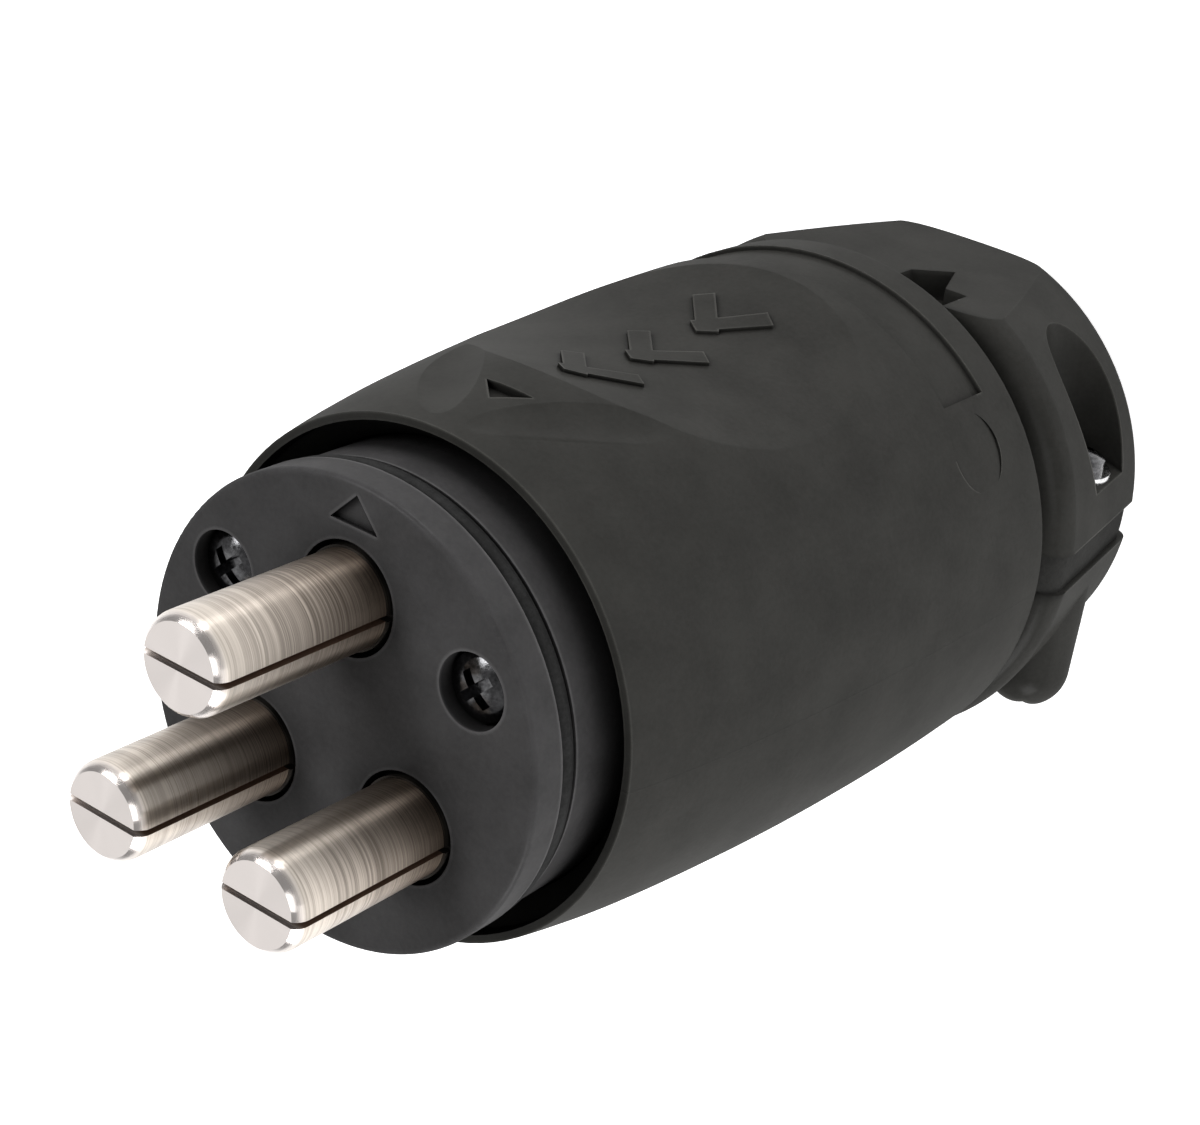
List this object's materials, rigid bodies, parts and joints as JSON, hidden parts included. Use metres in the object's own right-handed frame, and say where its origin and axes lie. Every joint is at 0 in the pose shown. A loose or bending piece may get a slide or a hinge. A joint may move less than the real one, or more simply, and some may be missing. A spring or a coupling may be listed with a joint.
{
  "type": "locking power plug",
  "caption": "Round locking power plug with split pins, a thumb pad on the barrel and a screwed cable clamp at the rear.",
  "frame": {"origin": "centre of the flat rear face that the plug stands on, on the axis of the barrel and the cable entry", "axes": "+Z along the axis toward the pins, -Y toward the thumb pad, +X to the right seen from the pad side with the pins up"},
  "size_m": [0.0516, 0.0517, 0.1117],
  "materials": {
    "shell": "fine matte moulded texture, dark warm grey",
    "clamp_shell": "fine matte moulded texture, slightly smoother than the barrel",
    "insert": "smooth matte, slightly cooler grey",
    "seal": "satin",
    "grommet_rubber": "matte",
    "pin_metal": "nickel-silver colour with fine turning marks",
    "brass": "machined",
    "screw_metal": "dark, shiny",
    "washer_metal": "bright"
  },
  "bodies": {
    "root": {"housing": "shell", "front_insert": "insert", "rear_carrier": "insert", "seal_ring": "seal", "pin_top": "pin_metal", "pin_left": "pin_metal", "pin_right": "pin_metal", "terminal_screw_top": "screw_metal", "terminal_screw_left": "screw_metal", "terminal_screw_right": "screw_metal", "saddle_top": "brass", "saddle_left": "brass", "saddle_right": "brass", "face_screw_left": "screw_metal", "face_screw_right": "screw_metal", "threaded_insert_left": "brass", "threaded_insert_right": "brass", "lower_clamp": "clamp_shell", "grommet_upper": "grommet_rubber", "grommet_lower": "grommet_rubber", "clamp_screw_left": "screw_metal", "clamp_screw_right": "screw_metal", "clamp_washer_left": "washer_metal", "clamp_washer_right": "washer_metal", "clamp_nut_left": "screw_metal", "clamp_nut_right": "screw_metal"}
  },
  "joints": []
}
